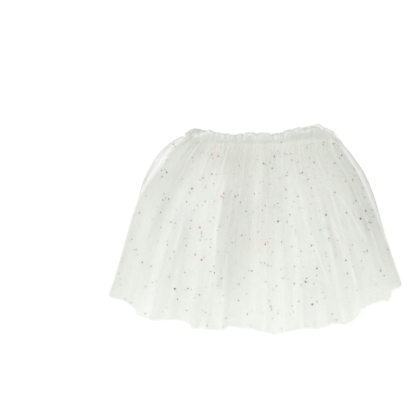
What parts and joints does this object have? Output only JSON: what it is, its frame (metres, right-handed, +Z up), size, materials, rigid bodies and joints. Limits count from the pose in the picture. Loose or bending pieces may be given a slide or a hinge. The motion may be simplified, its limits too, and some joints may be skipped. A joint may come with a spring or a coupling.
{
  "type": "tulle tutu skirt",
  "caption": "Child's white net tutu skirt laid flat: gathered see-through layers, front and back, on a shirred elastic waist casing, with a raw wavy hem.",
  "frame": {"origin": "middle of the laid skirt's outline from above, on the surface that it lies on", "axes": "+X across the skirt to the right as seen from above, +Y from the hem to the waist, +Z up from the surface"},
  "size_m": [0.4474, 0.3172, 0.0173],
  "materials": {
    "casing_cloth": "matt white net bunched over an elastic",
    "outer_net": "soft see-through white net with a slight sheen and glitter dots",
    "middle_net": "soft see-through white net with a slight sheen and glitter dots",
    "inner_net": "soft see-through white net with a slight sheen"
  },
  "bodies": {
    "root": {"waistband_front": "casing_cloth", "waistband_back": "casing_cloth", "outer_tulle_front": "outer_net", "outer_tulle_back": "outer_net", "middle_tulle_front": "middle_net", "middle_tulle_back": "middle_net", "inner_tulle_front": "inner_net", "inner_tulle_back": "inner_net"}
  },
  "joints": []
}
